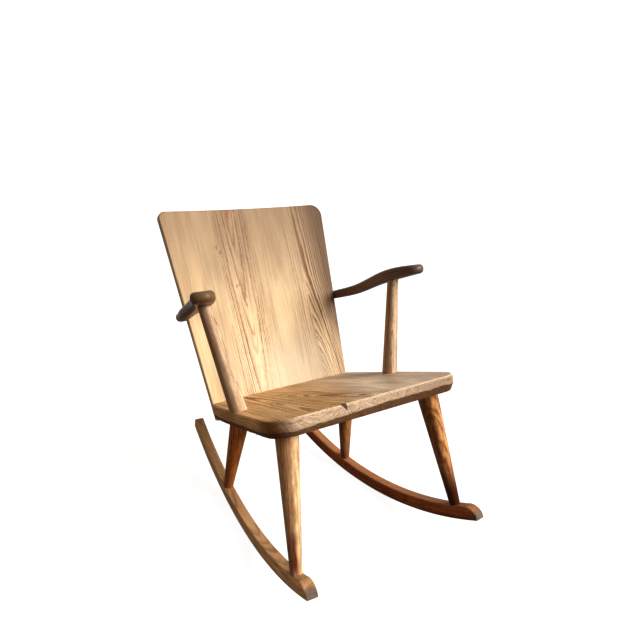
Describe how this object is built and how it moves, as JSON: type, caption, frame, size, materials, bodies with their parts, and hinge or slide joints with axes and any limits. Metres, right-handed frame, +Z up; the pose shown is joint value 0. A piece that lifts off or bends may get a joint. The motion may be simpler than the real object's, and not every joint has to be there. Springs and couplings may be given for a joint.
{
  "type": "rocking chair",
  "caption": "Solid pine rocking armchair: one wide curved board back, thick plank seat, tapered turned legs, dark shaped arms on turned posts, and curved rockers.",
  "frame": {"origin": "on the floor under the middle of the chair's width and depth, with the chair standing at rest", "axes": "+Z up; the front of the seat faces -Y; +X is to the right when looking at the chair from the front"},
  "size_m": [0.621, 0.8757, 0.7873],
  "materials": {
    "back_pine": "oiled pine, satin, slightly yellowed",
    "seat_pine": "brown stained pine, satin, worn pale along the front edge",
    "leg_pine": "honey brown stained pine, satin",
    "post_pine": "honey brown stained pine, satin",
    "rocker_pine": "brown stained pine, worn on top",
    "dark_arm_wood": "dark brown stained wood, polished by hands",
    "plug_pine": "oiled pine end grain",
    "screw_steel": "plain steel, hidden under plugs"
  },
  "bodies": {
    "root": {"arm_left": "dark_arm_wood", "arm_post_left": "post_pine", "arm_post_right": "post_pine", "arm_right": "dark_arm_wood", "arm_screw_plugs": "dark_arm_wood", "arm_screws": "screw_steel", "back_board_1": "back_pine", "back_board_2": "back_pine", "back_board_3": "back_pine", "back_board_4": "back_pine", "back_screw_plugs": "plug_pine", "back_screws": "screw_steel", "front_leg_left": "leg_pine", "front_leg_right": "leg_pine", "rear_leg_left": "leg_pine", "rear_leg_right": "leg_pine", "rocker_left": "rocker_pine", "rocker_right": "rocker_pine", "seat_board_1": "seat_pine", "seat_board_2": "seat_pine", "seat_board_3": "seat_pine"}
  },
  "joints": []
}
